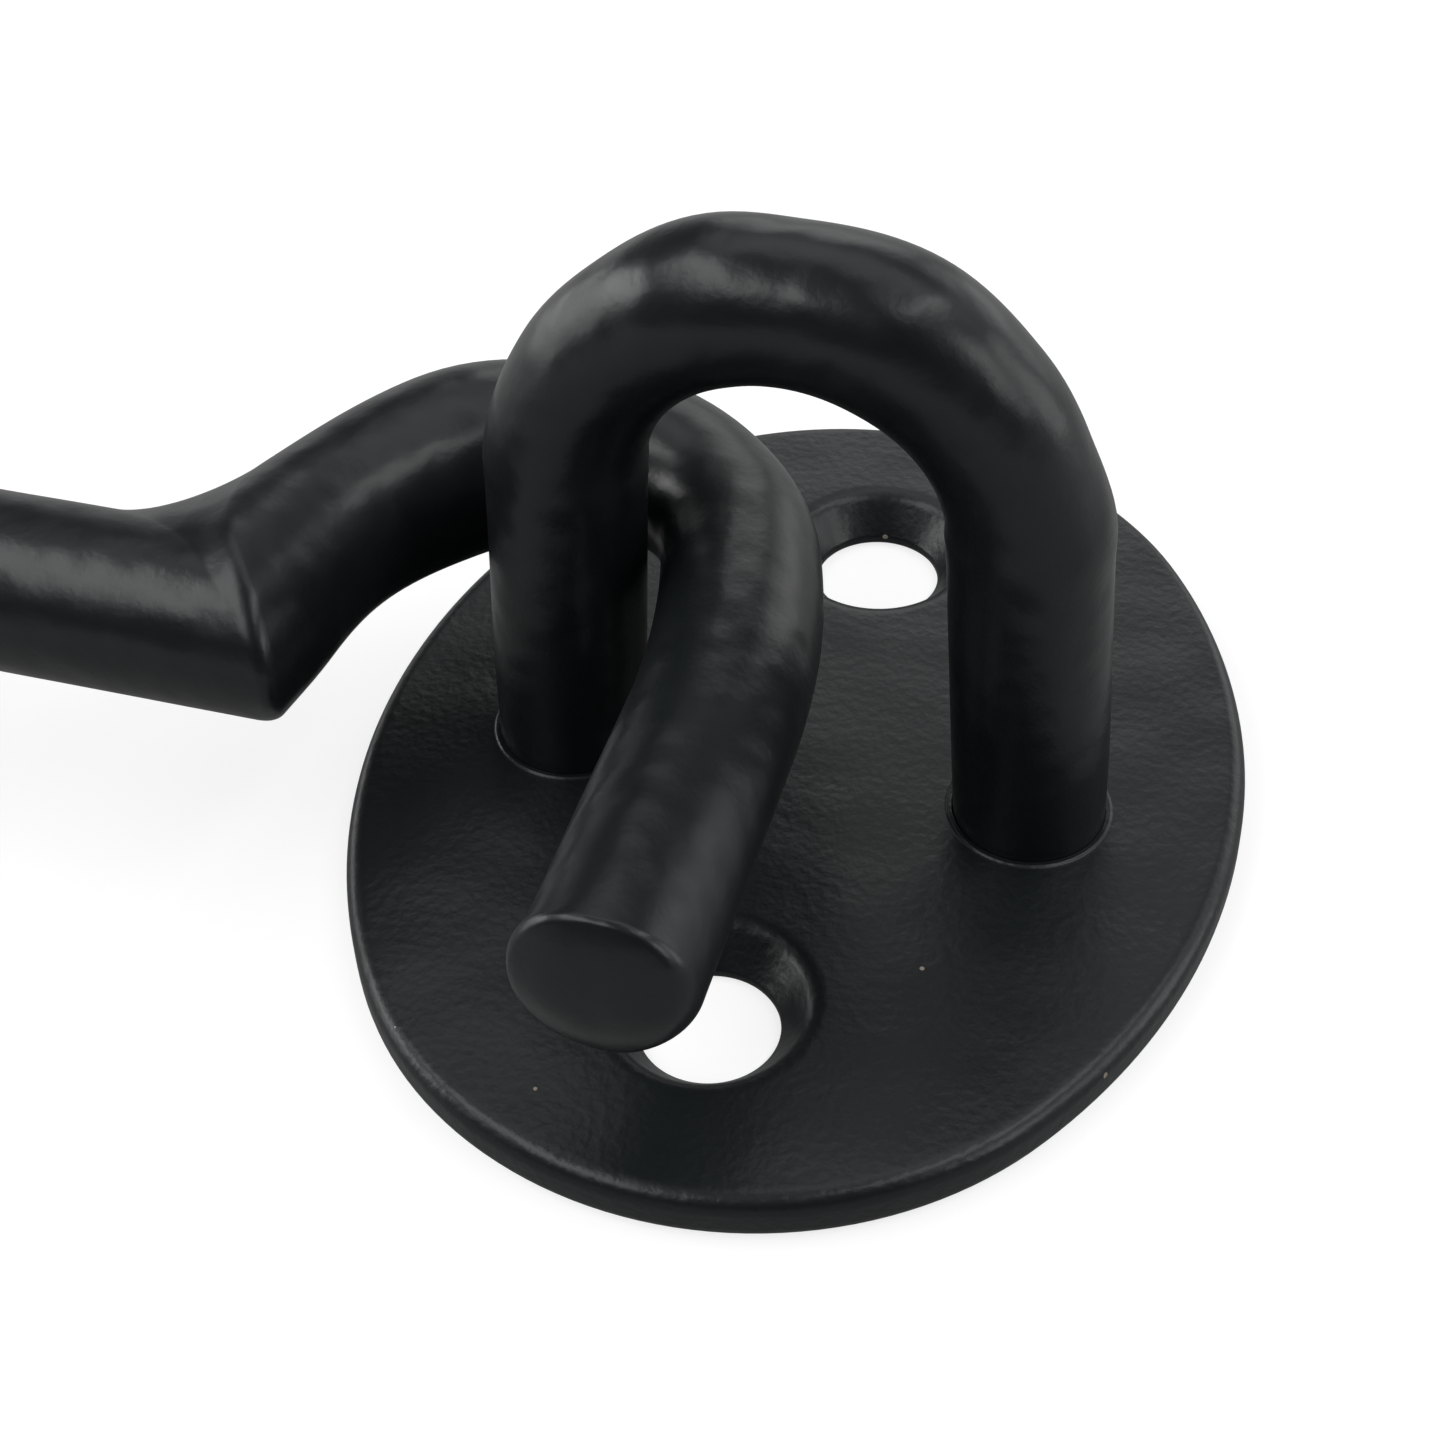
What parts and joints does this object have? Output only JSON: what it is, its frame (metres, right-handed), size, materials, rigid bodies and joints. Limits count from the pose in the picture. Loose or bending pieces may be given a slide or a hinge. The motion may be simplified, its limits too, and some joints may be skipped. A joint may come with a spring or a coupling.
{
  "type": "cabin hook latch",
  "caption": "Black rod hook that swings on a staple and drops through a second staple, each riveted to an oval screw-on plate.",
  "frame": {"origin": "middle of the pivot plate's back face, on the surface that the latch is screwed to", "axes": "+Z out of the wall, +X along the arm from the pivot to the keeper, +Y towards the upper screws, the way the hook lifts"},
  "size_m": [0.1584, 0.0543, 0.0294],
  "materials": {
    "keeper_plate": "black powder coat, satin, on pressed steel plate",
    "keeper_staple": "black powder coat, satin, on bent steel rod",
    "hook": "black powder coat, satin, on forged steel rod",
    "pivot_plate": "black powder coat, satin, on pressed steel plate",
    "pivot_staple": "black powder coat, satin, on bent steel rod"
  },
  "bodies": {
    "fixed": {"pivot_plate": "pivot_plate", "pivot_staple": "pivot_staple", "keeper_plate": "keeper_plate", "keeper_staple": "keeper_staple"},
    "swinging_hook": {"hook": "hook"}
  },
  "joints": [
    {"name": "hook_swing", "type": "hinge", "parent": "fixed", "child": "swinging_hook", "pos_m": [0.00965, -0.0007, 0.0115], "axis": [0, 0, 1], "range_deg": [0, 150]}
  ]
}
